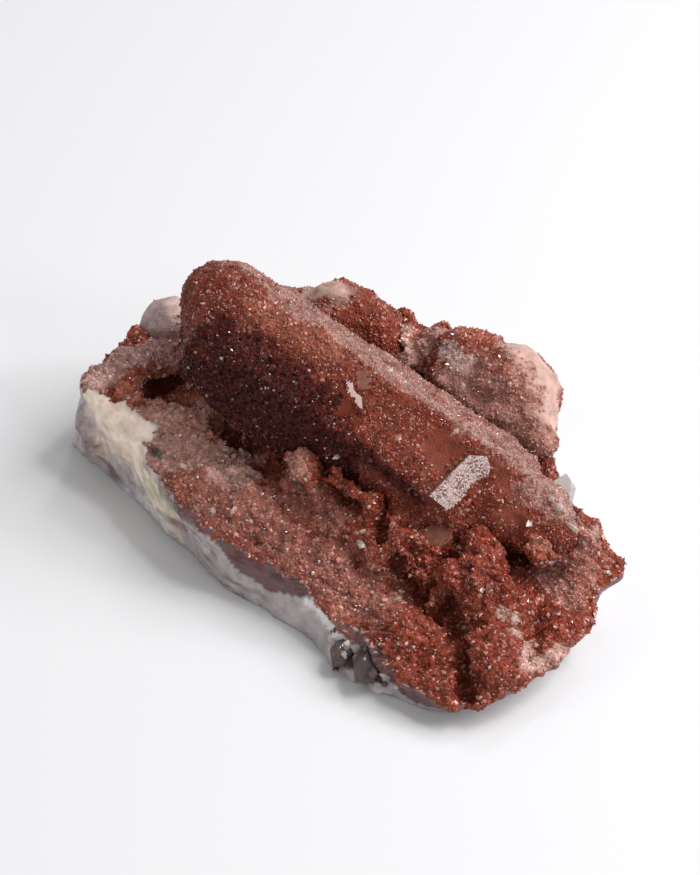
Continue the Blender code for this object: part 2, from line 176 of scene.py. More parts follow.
ORANGE = {
    "matrix": (
        (((296, 460), (299, 463)), 1.9, 1.0),
        (((125, 395), (145, 387)), 1.8, 0.8),
        # Partly painted light: this orange is raised further to lift the shade under the main
        # crystal's left end
        (((160, 415), (190, 405), (212, 420)), 3.4, 0.7),
        (((175, 460), (215, 475), (250, 490), (310, 500)), 2.6, 0.4),
        (((385, 338), (410, 338), (440, 342)), 2.4, 0.5),
        (((520, 540), (545, 545)), 2.0, 0.5),
        (((250, 575), (300, 590), (330, 610), (350, 630)), 0.8, 0.4),
    ),
    "main_crystal": (
        (((262, 310), (290, 325), (315, 338), (335, 352)), 1.9, 0.6),
    ),
    "rear_right_crystal": (
        (((430, 335), (452, 330), (475, 332)), 2.0, 0.4),
    ),
}
# Deep red: partly the druse's own darker maroon, partly painted shade in the slab's hollows and
# crevices, in the main crystal's shadow on the slab and on the crystal's flank turned from the
# lamps
DEEP_RED_AND_SHADE = {
    "matrix": (
        (((325, 462), (326, 487), (342, 500), (358, 507)), 0.8, 0.9),
        (((391, 500), (383, 520), (378, 536)), 0.9, 0.9),
        (((412, 548), (420, 560), (412, 588), (425, 600)), 1.0, 0.9),
        (((430, 612), (448, 606), (458, 625), (464, 660), (468, 690)), 1.2, 1.0),
        (((398, 562), (408, 580), (418, 598)), 1.2, 0.8),
        (((402, 380), (435, 372)), 2.4, 0.8),
        (((150, 391), (166, 384), (184, 378), (196, 374)), 1.0, 1.0),
        (((221, 408), (227, 424), (240, 440)), 1.9, 1.0),
        (((350, 476), (372, 492)), 0.9, 0.8),
        # Painted shadow of the main crystal on the slab
        (((254, 462), (268, 468), (282, 473)), 1.1, 0.65),
        (((468, 580), (490, 590)), 2.4, 0.34),
    ),
    # Painted shade on the main crystal's flank and along its lower edge, over its darker maroon
    "main_crystal": (
        (((222, 340), (255, 365), (290, 390), (312, 420)), 3.9, 1.0),
        (((340, 432), (365, 455), (390, 477), (415, 497)), 1.3, 0.9),
    ),
}
# The slab's hollows and a steep place under the orange ball are druse, not broken rock
WHOLE = (
    *DEEP_RED_AND_SHADE["matrix"],
    (((285, 478), (297, 484), (310, 482)), 1.6, 1.0),
    (((412, 580), (420, 592), (428, 604)), 1.6, 1.0),
    (((460, 655), (466, 675), (470, 692)), 1.8, 1.0),
)
GREEN = {
    "matrix": (
        (((154, 450), (160, 456)), 0.7, 0.85),
        (((296, 484), (302, 489)), 0.6, 0.8),
        (((248, 477), (254, 482)), 0.6, 0.7),
        (((238, 562), (246, 570)), 0.6, 0.9),
        (((166, 486), (172, 494)), 0.6, 0.6),
    ),
}
GREY = {
    "matrix": (
        (((372, 327), (396, 329)), 1.3, 0.8),
        (((104, 372), (130, 352), (160, 348)), 2.6, 0.5),
    ),
    "rear_right_crystal": (
        (((447, 352), (460, 364)), 1.5, 0.8),
    ),
    "rear_left_crystal": (
        (((150, 322), (165, 306), (178, 302)), 4.0, 1.0),
    ),
}
TINTS = {"pale": PALE, "orange": ORANGE, "deep": DEEP_RED_AND_SHADE, "grey": GREY, "green": GREEN}
# On the main crystal: how pale and grey its face to the back is, and where its dark flank, painted
# shade over darker maroon, ends
TOP_PALE = 0.25
TOP_GREY = 0.3
FLANK_END = 4.0 * MM
FLANK_TOP = 29.0 * MM
FLANK_FADE = 3.0 * MM
# Where the druse has many clear grains, and how many times more
CLEAR_PATCH = {
    "matrix": (
        (((165, 458), (200, 480), (240, 500), (300, 525)), 4.5, 1.0),
        (((330, 560), (380, 620)), 3.5, 0.5),
    ),
}
CLEAR_MORE = 5.0
# How far the tone of single grains lies from the mean, as a share, and how much more on dark skin
VARIETY = 0.2
MATRIX_VARIETY = 0.38
DARK_VARIETY = 0.6
# Where no druse grows
BARE = {
    "matrix": (
        (((78, 415), (84, 445), (100, 470)), 3.2, 1.0),
    ),
    "main_crystal": (
        (((431, 446), (445, 438), (457, 449), (440, 462)), 1.35, 1.0),
        (((499, 466), (503, 480)), 1.0, 1.0),
        (((506, 514), (520, 516)), 1.3, 1.0),
        (((332, 352), (345, 362), (360, 372)), 0.9, 0.6),
    ),
    "rear_right_crystal": (
        (((500, 336), (524, 346), (543, 364), (552, 388), (555, 412)), 3.4, 1.0),
    ),
    "rear_middle_crystal": (
        (((312, 288), (335, 290)), 2.2, 0.95),
    ),
    "rear_left_crystal": (
        (((150, 322), (165, 306), (178, 302)), 4.6, 1.0),
    ),
}
# On the slab's broken side: the lower edge of the maroon layer, and zones where other rock shows
LAYER_EDGE = (
    (159, 523), (187, 514), (213, 537), (225, 558), (236, 569), (253, 580), (271, 589), (290, 597),
    (305, 599), (320, 599), (331, 609), (338, 623), (347, 635), (361, 644), (372, 652), (382, 670),
    (390, 685), (402, 694))
CREAM = (
    (((100, 405), (108, 425), (122, 445), (138, 462), (148, 485), (164, 508)), 3.4, 1.0),
)
LUMP = (
    (((79, 415), (83, 432), (90, 450)), 2.4, 0.45),
    (((158, 510), (170, 520), (184, 528)), 0.9, 0.8),
)
GREENISH = (
    (((148, 486), (168, 508)), 1.5, 0.7),
)
WHITE = (
    (((308, 603), (322, 612), (334, 632), (348, 652)), 0.7, 1.0),
    (((98, 470), (130, 495), (160, 520)), 2.2, 0.4),
)
# Cream rock that faces up beside the druse
PEEL = (
    (((95, 400), (110, 408), (128, 419), (146, 431)), 1.5, 1.0),
    (((104, 418), (112, 423), (124, 429)), 1.3, 1.0),
    (((97, 434), (101, 444), (103, 456)), 1.1, 1.0),
)
# The maroon seam that shows just under the druse's edge
SEAM = (
    (((162, 492), (173, 506), (189, 518), (206, 531)), 0.9, 0.9),
    (((348, 629), (364, 640), (377, 656), (389, 671), (400, 688)), 0.7, 0.9),
)
# Broken rock round the smoky points
CHIPPED = (
    (((326, 638), (336, 660), (352, 674), (372, 688), (388, 695)), 1.5, 1.0),
)
# The thin maroon bands show along this line
BANDS = (
    (((98, 462), (126, 490), (170, 515), (200, 548), (235, 585), (262, 605)), 3.0, 1.0),
)

# Bare crystal faces: outline in pixels, lift above the solid in mm, and the finish's name
FACES = {
    "bright_face": (
        ((429, 496), (469, 455), (487, 456), (491, 468), (488, 477), (475, 482), (471, 490),
         (461, 502), (448, 511)), 0.12, "frosted_face"),
    "low_face": (
        ((421, 530), (432, 524), (450, 525), (452, 537), (444, 547), (430, 545)), 0.25,
        "dull_face"),
    "pink_edge_face": (
        ((345, 377), (353, 382), (354, 390), (362, 397), (363, 412), (347, 393)), 0.2, "edge_face"),
    "red_side_face": (
        ((346, 396), (362, 412), (348, 417), (330, 415)), 0.12, "red_face"),
    "pink_top_face": (
        ((355, 371), (366, 368), (374, 378), (371, 389), (357, 390)), 0.12, "dull_face"),
}
# Larger quartz points in the druse, by finish: pixel, width and length in mm
LARGE_POINTS = {
    "clear_druse": (
        ((226, 450), 1.1, 1.5), ((234, 456), 0.9, 1.2), ((241, 450), 0.8, 1.1),
        ((361, 544), 1.3, 1.5), ((363, 532), 0.8, 1.0), ((338, 456), 0.8, 1.1),
        ((184, 467), 0.9, 1.1), ((213, 513), 1.1, 1.3), ((236, 508), 0.8, 1.2),
        ((193, 458), 0.8, 1.0), ((388, 372), 0.9, 1.1), ((463, 388), 1.0, 1.1),
        ((455, 432), 1.0, 1.0), ((484, 444), 0.9, 1.0), ((557, 507), 1.3, 1.5),
        ((551, 499), 0.9, 1.2), ((529, 523), 1.0, 1.3), ((571, 527), 1.1, 1.5),
        ((522, 655), 0.9, 1.2), ((514, 618), 0.9, 1.2), ((533, 660), 0.8, 1.1),
        ((608, 572), 0.8, 0.9), ((396, 600), 0.9, 1.2), ((402, 592), 0.7, 1.0),
        ((346, 646), 1.2, 1.4), ((388, 676), 1.1, 1.5), ((397, 686), 1.0, 1.4),
    ),
    "smoky_crystal": (
        ((367, 651), 1.1, 1.5), ((347, 664), 1.3, 1.6), ((372, 672), 1.5, 1.9),
        ((383, 683), 1.2, 1.5),
    ),
}
LARGE_WIDER = 0.8
LARGE_LONGER = 1.15
# The large round key lamp, in metres, and the direction and spread of the two other soft lamps
KEY_PLACE = (0.275, 0.231, 0.385)
KEY_SIZE = 0.46
TOP_LAMP = ((-0.15, -0.25, 0.95), 110.0)
FRONT_LAMP = ((0.85, -0.19, 0.50), 11.0)
# The small lamps that the druse mirrors: direction and share of their strength
SPARKLES = (
    ((0.35, 0.25, 0.9), 1.0), ((0.75, 0.45, 0.45), 1.0), ((-0.15, 0.6, 0.75), 0.8),
    ((-0.48, -0.62, 0.62), 0.35))
SPARKLE_SPREAD = 7.5          # degrees
# How far the clear point stands from its solid, in mm along the photograph's rows
CLEAR_SHIFT = -1.1
# Edges of the faces over which no grains creep: the number of each edge's first corner
SHARP_EDGES = {"bright_face": (0, 1, 2, 8), "pink_edge_face": (1, 2, 3)}
FACE_NORMALS = {"bright_face": Vector((0.70, -0.43, 0.57))}
FACE_REST = 0.15              # mm that the skin stays below a face
FACE_DEPTH = 0.7              # mm that a face's crystal reaches into the rock
FACE_BEVEL = 0.05             # mm
POINT_BEVEL = 0.06            # mm
ON_FACE_REACH = 8.0           # mm from a face's middle within which a place may lie on it
PRESS_REACH = 7.0             # mm from a face's middle within which the skin is pressed down
PRESS_SPREAD = 0.12           # share by which it is pressed down past the face's outline
QUARTZ_IOR = 1.544


def linear(code):
    """An sRGB hex colour as linear RGBA."""
    parts = [int(code[i:i + 2], 16) / 255 for i in (1, 3, 5)]
    flat = [c / 12.92 if c <= 0.04045 else ((c + 0.055) / 1.055) ** 2.4 for c in parts]
    return (*flat, 1.0)


def colour(name, description, code):
    """A property for a colour, with an sRGB hex value as its default."""
    return bpy.props.FloatVectorProperty(
        name=name, description=description, default=linear(code), size=4, min=0.0, max=1.0,
        subtype="COLOR")


def strength(name, description, default):
    """A property for a lamp's strength."""
    return bpy.props.FloatProperty(name=name, description=description, default=default, min=0.0)


class DruseSettings(bpy.types.PropertyGroup):
    """Sizes and colours of the druse."""
    grain_width: bpy.props.FloatProperty(
        name="Grain width", description="Width of an average grain of the druse",
        default=0.45 * MM, min=0.2 * MM, max=2.0 * MM, unit="LENGTH")
    clear_share: bpy.props.FloatProperty(
        name="Clear share", description="Share of the grains that are clear quartz",
        default=0.006, min=0.0, max=1.0, subtype="FACTOR")
    pale_share: bpy.props.FloatProperty(
        name="Pale share", description="Share of the red grains that are pale and translucent",
        default=0.1, min=0.0, max=1.0, subtype="FACTOR")
    red: colour("Red", "Colour of the hematite-stained druse", "#7f3727")
    skin: colour("Skin", "Colour of the stained quartz that the grains stand on", "#733524")
    # Painted shade in part: this deep red darkens the hollows and the main crystal's flank turned
    # from the lamps, besides colouring the druse's darker maroon
    deep: colour("Deep red", "Colour in the hollows and on the shaded flank", "#421815")
    orange: colour("Orange", "Colour of the thinly coated knobs", "#a8634f")
    pale: colour("Pale", "Colour of the frosted skin with little hematite", "#c09d92")
    grey: colour("Grey", "Colour of the bare grey-mauve quartz", "#b39b96")
    green: colour("Green", "Colour of the small dark green spots", "#3d463d")


class RockSettings(bpy.types.PropertyGroup):
    """Colours of the slab's broken side and of the points."""
    quartz: colour("Quartz", "Colour of the grey translucent quartz", "#b8adad")
    layer: colour("Maroon layer", "Colour of the layer under the druse's edge", "#6d4544")
    cream: colour("Cream", "Colour of the cream broken face", "#ffe7d4")
    greenish: colour("Greenish", "Colour of the yellow-green tint in the cream", "#c3c2a0")
    smoke: colour("Smoke", "Colour of the light that the smoky points let through", "#8f7b78")


class StageSettings(bpy.types.PropertyGroup):
    """The floor and the lamps."""
    floor_size: bpy.props.FloatProperty(
        name="Floor size", description="Side of the square floor",
        default=4.0, min=0.5, unit="LENGTH")
    paper: colour("Paper", "Colour of the floor", "#dddddf")
    key: strength("Key light", "Strength of the large soft lamp at the back right", 2.8)
    top: strength("Top light", "Strength of the very large lamp overhead", 0.3)
    front: strength("Front light", "Strength of the small lamp that the bright face mirrors", 0.34)
    sparkle: strength("Sparkle light", "Strength of the small lamps that the druse mirrors", 0.36)
    fill: strength("Fill", "Brightness of the room", 0.3)


def sight(pixel):
    """Direction of the camera's ray through a pixel of the photograph."""
    across = (pixel[0] - IMAGE[0] / 2) / FOCAL_PIXELS
    up = (IMAGE[1] / 2 - pixel[1]) / FOCAL_PIXELS
    return (-TOWARDS_CAMERA + CAMERA_RIGHT * across + CAMERA_UP * up).normalized()


def pixels_of(points):
    """Pixels of the photograph at which points of the object show."""
    offset = points - np.array(CAMERA_PLACE)
    depth = -offset @ np.array(TOWARDS_CAMERA)
    across = FOCAL_PIXELS * (offset @ np.array(CAMERA_RIGHT)) / depth
    up = FOCAL_PIXELS * (offset @ np.array(CAMERA_UP)) / depth
    return np.stack((IMAGE[0] / 2 + across, IMAGE[1] / 2 - up), axis=1)


def tree_of(nodes):
    """A search tree over the meshes of CAD nodes."""
    corners, faces = [], []
    for node in nodes:
        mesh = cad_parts[node].data
        start = len(corners)
        corners += [v.co.copy() for v in mesh.vertices]
        faces += [tuple(start + i for i in p.vertices) for p in mesh.polygons]
    return BVHTree.FromPolygons(corners, faces)


SOLIDS = tree_of(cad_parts)


def seen(pixel):
    """Place on the solids that shows at a pixel of the photograph, or None."""
    return SOLIDS.ray_cast(CAMERA_PLACE, sight(pixel))[0]


def distance_to(points, places):
    """Distance of each point from a line of places."""
    best = np.full(len(points), np.inf)
    ends = [np.array(place) for place in places]
    for start, end in zip(ends, ends[1:] or ends):
        along = end - start
        length = max(along @ along, 1e-12)
        share = np.clip((points - start) @ along / length, 0.0, 1.0)
        best = np.minimum(best, np.linalg.norm(points - start - share[:, None] * along, axis=1))
    return best


def waves(points, size, seed, count=9):
    """Smooth irregular numbers from about -1 to 1, with bumps of this size in millimetres."""
    draw = np.random.default_rng(seed)
    total = np.zeros(len(points))
    for _ in range(count):
        direction = draw.normal(size=3)
        direction *= draw.uniform(0.7, 1.5) * math.pi / (size * MM * np.linalg.norm(direction))
        total += np.sin(points @ direction + draw.uniform(0.0, 2 * math.pi))
    return total / math.sqrt(2 * count)


def zone(points, lines):
    """How far points lie within the zones round some lines, from 0 to each zone's strength."""
    result = np.zeros(len(points))
    ragged = 1.0 + 0.35 * waves(points, 1.5, 5) + 0.25 * waves(points, 0.6, 6)
    for pixels, radius, share in lines:
        places = [place for place in map(seen, pixels) if place is not None]
        if not places:
            raise RuntimeError(f"no place on the solids shows at {pixels}")
        inside = 1.4 - distance_to(points, places) / (radius * MM * ragged)
        result = np.maximum(result, share * np.clip(inside / 0.8, 0.0, 1.0))
    return result


def tints_at(points, node):
    """How pale, orange, deep, grey and green a CAD node's skin is at points, each from 0 to 1."""
    shares = {name: zone(points, table.get(node, ())) for name, table in TINTS.items()}
    if node == "main_crystal":
        solid = tree_of([node])
        facing = np.array([solid.find_nearest(point)[1] for point in points])
        top = np.clip((facing[:, 1] - 0.2 + 0.12 * waves(points, 1.3, 41)) / 0.25, 0.0, 1.0)
        top *= np.clip(0.8 + 0.35 * waves(points, 2.2, 42), 0.0, 1.0)
        # Painted shade: the deep tint darkens the left part's side that turns from the lamps, over
        # the crystal's own darker maroon there
        flank = np.clip((-facing[:, 1] - 0.6) / 0.25, 0.0, 1.0) * (points[:, 0] < FLANK_END)
        flank *= np.clip((FLANK_TOP - points[:, 2]) / FLANK_FADE, 0.0, 1.0)
        shares["pale"] = np.maximum(shares["pale"], TOP_PALE * top)
        shares["grey"] = np.maximum(shares["grey"], TOP_GREY * top)
        shares["deep"] = np.maximum(shares["deep"], flank)
    return shares


def within(pixels, outline):
    """Which pixels lie within an outline."""
    x, y = pixels[:, 0], pixels[:, 1]
    inside = np.zeros(len(pixels), bool)
    for (ax, ay), (bx, by) in zip(outline, outline[1:] + outline[:1]):
        crosses = (ay > y) != (by > y)
        inside ^= crosses & (x < (bx - ax) * (y - ay) / ((by - ay) or 1e-9) + ax)
    return inside


def only(piece):
    """Select one object alone and make it the active one."""
    bpy.ops.object.select_all(action="DESELECT")
    piece.select_set(True)
    bpy.context.view_layer.objects.active = piece


def apply_modifiers(piece):
    """Apply the object's modifiers in their order."""
    only(piece)
    for name in [modifier.name for modifier in piece.modifiers]:
        bpy.ops.object.modifier_apply(modifier=name)


def read(mesh, what, attribute, width=3):
    """Numbers of a mesh's vertices or polygons as an array."""
    source = getattr(mesh, what)
    values = np.zeros(len(source) * width)
    source.foreach_get(attribute, values)
    return values.reshape(-1, width) if width > 1 else values


def write(mesh, name, values):
    """Store one number for each vertex of a mesh."""
    layer = mesh.attributes.new(name, "FLOAT", "POINT")
    layer.data.foreach_set("value", values.astype(np.float32))


def cad_copy(node, name):
    """A copy of a CAD node's mesh, with its loose corners fused."""
    piece = bpy.data.objects.new(name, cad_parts[node].data.copy())
    bpy.context.scene.collection.objects.link(piece)
    piece.data.materials.clear()
    only(piece)
    bpy.ops.object.mode_set(mode="EDIT")
    bpy.ops.mesh.select_all(action="SELECT")
    bpy.ops.mesh.remove_doubles(threshold=WELD)
    bpy.ops.object.mode_set(mode="OBJECT")
    return piece


def rock_copy(node, name, cell):
    """A finely divided copy of a CAD node, which stands for it."""
    piece = cad_copy(node, name)
    fuse = piece.modifiers.new("Fuse", "REMESH")
    fuse.mode = "VOXEL"
    fuse.voxel_size = cell * MM
    soften = piece.modifiers.new("Soften", "SMOOTH")
    soften.iterations = 3
    apply_modifiers(piece)
    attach(piece, "root")
    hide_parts(node)
    return piece


def roughen(piece, layers, weights):
    """Move the skin in and out by layers of clouds, as far as each vertex's weight lets it."""
    group = piece.vertex_groups.new(name="rough")
    steps = np.round(weights * WEIGHT_STEPS).astype(int)
    for step in range(1, WEIGHT_STEPS + 1):
        members = np.nonzero(steps == step)[0].tolist()
        if members:
            group.add(members, step / WEIGHT_STEPS, "REPLACE")
    for size, depth in layers:
        clouds = bpy.data.textures.new(f"{piece.name}_clouds", "CLOUDS")
        clouds.noise_scale = size * MM
        clouds.noise_depth = 1
        rough = piece.modifiers.new("Rough", "DISPLACE")
        rough.texture = clouds
        rough.texture_coords = "LOCAL"
        rough.strength = depth * MM
        rough.mid_level = 0.5
        rough.vertex_group = group.name
    apply_modifiers(piece)
    piece.vertex_groups.clear()


def bevel(piece, width):
    """Give a piece's edges a narrow bevel, its width in mm."""
    edge = piece.modifiers.new("Edge", "BEVEL")
    edge.width = width * MM
    edge.segments = 1
    apply_modifiers(piece)


def close_to(piece, nodes):
    """Let the skin meet its neighbours where the solids keep a gap."""
    others = tree_of(nodes)
    moved = []
    for vertex in piece.data.vertices:
        near = others.find_nearest(vertex.co, MEET_REACH * MM)
        share = 0.0 if near[3] is None else 1.0 - 0.5 * near[3] / (MEET_REACH * MM)
        moved.append(vertex.co + vertex.normal * (share * MEET_PUSH * MM))
    for vertex, place in zip(piece.data.vertices, moved):
        vertex.co = place


def tint(mesh, points, node):
    """Store the tints of the skin at each vertex."""
    for name, share in tints_at(points, node).items():
        write(mesh, name, share)


def outline_share(points):
    """How far out on the slab each point lies, 1 at its outline, and its offset from the middle."""
    corners = np.array([v.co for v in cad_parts["matrix"].data.vertices])[:, :2] - SLAB_MIDDLE
    bins = 90
    found = np.zeros(bins)
    where = ((np.arctan2(corners[:, 1], corners[:, 0]) / (2 * math.pi) + 0.5) * bins).astype(int)
    np.maximum.at(found, where % bins, np.hypot(corners[:, 0], corners[:, 1]))
    offset = points[:, :2] - SLAB_MIDDLE
    bearing = (np.arctan2(offset[:, 1], offset[:, 0]) / (2 * math.pi) + 0.5) * bins - 0.5
    limit = np.interp(bearing, np.arange(-1, bins + 1), found[np.arange(-1, bins + 1) % bins])
    return np.hypot(offset[:, 0], offset[:, 1]) / limit, offset


def below_druse(points):
    """Depth of points below the druse plane, in metres."""
    height, along_x, along_y = DRUSE_PLANE
    return height + along_x * points[:, 0] + along_y * points[:, 1] - points[:, 2]


def broken(points, normals):
    """Where the slab's skin is its broken side or its base, 0 or 1."""
    share, offset = outline_share(points)
    out = offset / np.linalg.norm(offset, axis=1)[:, None]
    faces_out = (normals[:, :2] * out).sum(axis=1)
    lip = (LIP + LIP_WAVES * waves(points, 2.0, 21)
           + LIP_SLOPE * np.clip(LIP_SHARE - share, 0.0, 1.0)) * MM
    side = ((faces_out > FACES_OUT) & (below_druse(points) > lip) & (share > DRUSE_SHARE)
            & (normals[:, 2] < FACES_UP))
    return (side | (normals[:, 2] < FACES_DOWN)).astype(float)


def laid_open(points, side):
    """Where the slab shows broken rock, 0 or 1, given where its side and base are."""
    side = side * (zone(points, WHOLE) < WHOLE_FROM)
    return np.maximum(side, zone(points, LUMP + PEEL + SEAM + CHIPPED) > OPEN_FROM)


def in_layer(points):
    """Which points lie above the lower edge of the maroon layer."""
    places = np.array([seen(pixel) for pixel in LAYER_EDGE])
    offset = places[:, :2] - SLAB_MIDDLE
    bearing = np.arctan2(offset[:, 1], offset[:, 0])
    depth = below_druse(places)
    order = np.argsort(bearing)
    own = points[:, :2] - SLAB_MIDDLE
    own_bearing = np.arctan2(own[:, 1], own[:, 0])
    thick = np.interp(own_bearing, bearing[order], depth[order])
    return below_druse(points) < thick * (1.0 + 0.16 * waves(points, 3.0, 31))


def layer_bands(points):
    """Thin maroon bands in the broken side at the left, from 0 to 1."""
    depth = below_druse(points) / MM + 1.0 * waves(points, 5.0, 33) + 0.3 * waves(points, 1.6, 34)
    thin = np.clip(1.6 * (np.sin(depth * 2.3) - 0.4), 0.0, 0.7)
    return thin * np.clip(0.6 + 0.8 * waves(points, 2.5, 35), 0.0, 1.0)


def hidden_share(points):
    """How far round to the back of the slab each point lies, from 0 to 1."""
    away = -np.array(TOWARDS_CAMERA)[:2] / math.cos(CAMERA_LIFT)
    return np.clip((points[:, :2] - SLAB_MIDDLE) @ away / HIDDEN_DEPTH, 0.0, 1.0)


def set_values(node, values):
    """Set the values of a shader node's sockets."""
    for socket, value in values.items():
        node.inputs[socket].default_value = value


def add(tree, kind, values=None, links=None, **settings):
    """Add a shader node with its settings, socket values and links."""
    made = tree.nodes.new(kind)
    for name, value in settings.items():
        setattr(made, name, value)
    set_values(made, values or {})
    for socket, source in (links or {}).items():
        tree.links.new(source, made.inputs[socket])
    return made


def new_quartz(name):
    """A new quartz material: itself, its node tree, its shader and its Object coordinates."""
    made = bpy.data.materials.new(name)
    made.use_nodes = True
    tree = made.node_tree
    shader = tree.nodes["Principled BSDF"]
    shader.inputs["IOR"].default_value = QUARTZ_IOR
    return made, tree, shader, add(tree, "ShaderNodeTexCoord").outputs["Object"]


def stone(name, base, tints, values, mottle=1.6, grain=0.35, bump=0.25, toned=False):
    """A mineral finish: a base colour, tints where attributes say, mottled and bumped by noise.

    The size of the colour's clouds and of the relief are mm; bump is the relief's depth as a share
    of its size. A toned finish is made darker or lighter by the attribute tone.
    """
    made, tree, shader, place = new_quartz(name)
    tinted = None
    for attribute, shade in tints:
        share = add(tree, "ShaderNodeAttribute", attribute_name=attribute)
        mixed = add(tree, "ShaderNodeMix", {6: base, 7: shade}, {0: share.outputs["Fac"]},
                    data_type="RGBA")
        if tinted:
            tree.links.new(tinted, mixed.inputs[6])
        tinted = mixed.outputs[2]
    clouds = add(tree, "ShaderNodeTexNoise", {"Scale": 1.0 / (mottle * MM), "Detail": 4.0},
                 {"Vector": place})
    tone = add(tree, "ShaderNodeMapRange", {1: 0.3, 2: 0.7, 3: 0.72, 4: 1.28},
               {0: clouds.outputs["Fac"]}).outputs[0]
    if toned:
        own = add(tree, "ShaderNodeAttribute", attribute_name="tone")
        tone = add(tree, "ShaderNodeMath", {}, {0: tone, 1: own.outputs["Fac"]},
                   operation="MULTIPLY").outputs[0]
    scaled = add(tree, "ShaderNodeVectorMath", {0: base[:3]}, {3: tone}, operation="SCALE")
    if tinted:
        tree.links.new(tinted, scaled.inputs[0])
    tree.links.new(scaled.outputs[0], shader.inputs["Base Color"])
    set_values(shader, values)
    if bump:
        relief = add(tree, "ShaderNodeTexNoise", {"Scale": 1.0 / (grain * MM), "Detail": 3.0},
                     {"Vector": place})
        raised = add(tree, "ShaderNodeBump", {"Strength": 1.0, "Distance": grain * bump * MM},
                     {"Height": relief.outputs["Fac"]})
        tree.links.new(raised.outputs["Normal"], shader.inputs["Normal"])
    return made


def finish(name):
    """The finish with this name, made when it is first asked for."""
    if name in bpy.data.materials:
        return bpy.data.materials[name]
    druse = bpy.context.scene.hematoid_druse
    rock = bpy.context.scene.hematoid_rock
    red = tuple(druse.red)
    tints = [(tint_name, tuple(getattr(druse, tint_name)))
             for tint_name in ("deep", "orange", "grey", "pale", "green")]
    rosy = linear("#ffe7df")
    if name == "druse_skin":
        # Quartz stained by hematite between the grains: dull, saturated red, rough to the eye
        return stone(name, tuple(druse.skin), tints, {
            "Roughness": 0.45, "Specular IOR Level": 0.15}, grain=0.25, bump=0.5)
    if name == "stained_points":
        # Fine quartz points coloured by hematite: glassy faces that sparkle, red light inside
        return stone(name, red, tints, {
            "Roughness": 0.2, "Specular IOR Level": 0.4, "Specular Tint": rosy},
            bump=0.0, toned=True)
    if name == "dark_druse":
        # Quartz points in the strong deep tint, on the dark flank and in the hollows: deep maroon,
        # a shaded copy of the stained points, rough and nearly without specular so that the painted
        # shade mirrors no lamp
        return stone(name, red, tints, {
            "Roughness": 0.5, "Specular IOR Level": 0.06}, bump=0.0, toned=True)
    if name == "bright_druse":
        # The few larger quartz points: glassy faces that mirror the lamps as sparkles
        return stone(name, red, tints, {
            "Roughness": 0.08, "Specular IOR Level": 0.7, "Specular Tint": rosy},
            bump=0.0, toned=True)
    if name == "clear_druse":
        # Clear and milky quartz points: bright, partly see-through, glassy
        return stone(name, linear("#ffeade"), (), {
            "Roughness": 0.05, "Transmission Weight": 0.55}, bump=0.0)
    if name == "broken_quartz":
        # Massive quartz broken across: greasy to glassy lustre, layered, light goes some way in
        return stone(name, tuple(rock.quartz), (
            ("layer", tuple(rock.layer)), ("cream", tuple(rock.cream)),
            ("greenish", tuple(rock.greenish)), ("white", linear("#edebea"))), {
            "Roughness": 0.22, "Subsurface Weight": 0.35,
            "Subsurface Radius": (1.0, 0.8, 0.75), "Subsurface Scale": 1.2 * MM},
            mottle=2.2, grain=0.9, bump=0.2)
    if name == "frosted_face":
        # A crystal face with a light etch: mirror-like, pinkish white, freckled with hematite
        return freckled(name, linear("#8a675f"), linear("#5c2b22"), 0.16)
    if name == "edge_face":
        # The narrow face of a small crystal: pinkish, glassy, brighter than its neighbours
        return stone(name, linear("#8f685d"), (), {"Roughness": 0.16}, bump=0.0)
    if name == "red_face":
        # A bare prism face over red hematite: smooth, glassy, deep colour
        return stone(name, linear("#6c2b1b"), (), {
            "Roughness": 0.2, "Specular IOR Level": 0.4}, mottle=1.1, grain=0.5, bump=0.06)
    if name == "dull_face":
        # A bare face under a pale haze: smooth and dull pink
        return stone(name, linear("#784638"), (), {
            "Roughness": 0.3, "Specular IOR Level": 0.4}, mottle=0.8, grain=0.4, bump=0.08)
    if name == "smoky_crystal":
        # Smoky quartz: glassy outside, grey-brown and darker the thicker it is
        return glassy(name, tuple(rock.smoke), 30.0, 0.75)
    if name == "clear_crystal":
        # Rock crystal with a faint haze: glassy and colourless
        return glassy(name, linear("#f9f8f8"), 20.0, 0.6)
    raise RuntimeError(f"no finish is named {name}")


def freckled(name, face, freckle, roughness):
    """A bright crystal face with red, dull freckles in patches."""
    made = stone(name, face, (), {"Roughness": roughness}, mottle=1.0, grain=0.3, bump=0.06)
    tree = made.node_tree
    shader = tree.nodes["Principled BSDF"]
    place = add(tree, "ShaderNodeTexCoord").outputs["Object"]
    spots = add(tree, "ShaderNodeTexNoise", {"Scale": 1.0 / (0.27 * MM), "Detail": 3.0},
                {"Vector": place})
    many = add(tree, "ShaderNodeMapRange", {1: 0.47, 2: 0.6, 3: 0.0, 4: 0.95},
               {0: spots.outputs["Fac"]})
    patches = add(tree, "ShaderNodeTexNoise", {"Scale": 1.0 / (1.8 * MM)}, {"Vector": place})
    patchy = add(tree, "ShaderNodeMapRange", {1: 0.42, 2: 0.56, 3: 0.2, 4: 1.0},
                 {0: patches.outputs["Fac"]})
    share = add(tree, "ShaderNodeMath", {}, {0: many.outputs[0], 1: patchy.outputs[0]},
                operation="MULTIPLY")
    plain = shader.inputs["Base Color"].links[0].from_socket
    mixed = add(tree, "ShaderNodeMix", {7: freckle}, {0: share.outputs[0], 6: plain},
                data_type="RGBA")
    tree.links.new(mixed.outputs[2], shader.inputs["Base Color"])
    etched = add(tree, "ShaderNodeMapRange", {1: 0.0, 2: 1.0, 3: roughness, 4: 0.6},
                 {0: share.outputs[0]})
    tree.links.new(etched.outputs[0], shader.inputs["Roughness"])
    return made


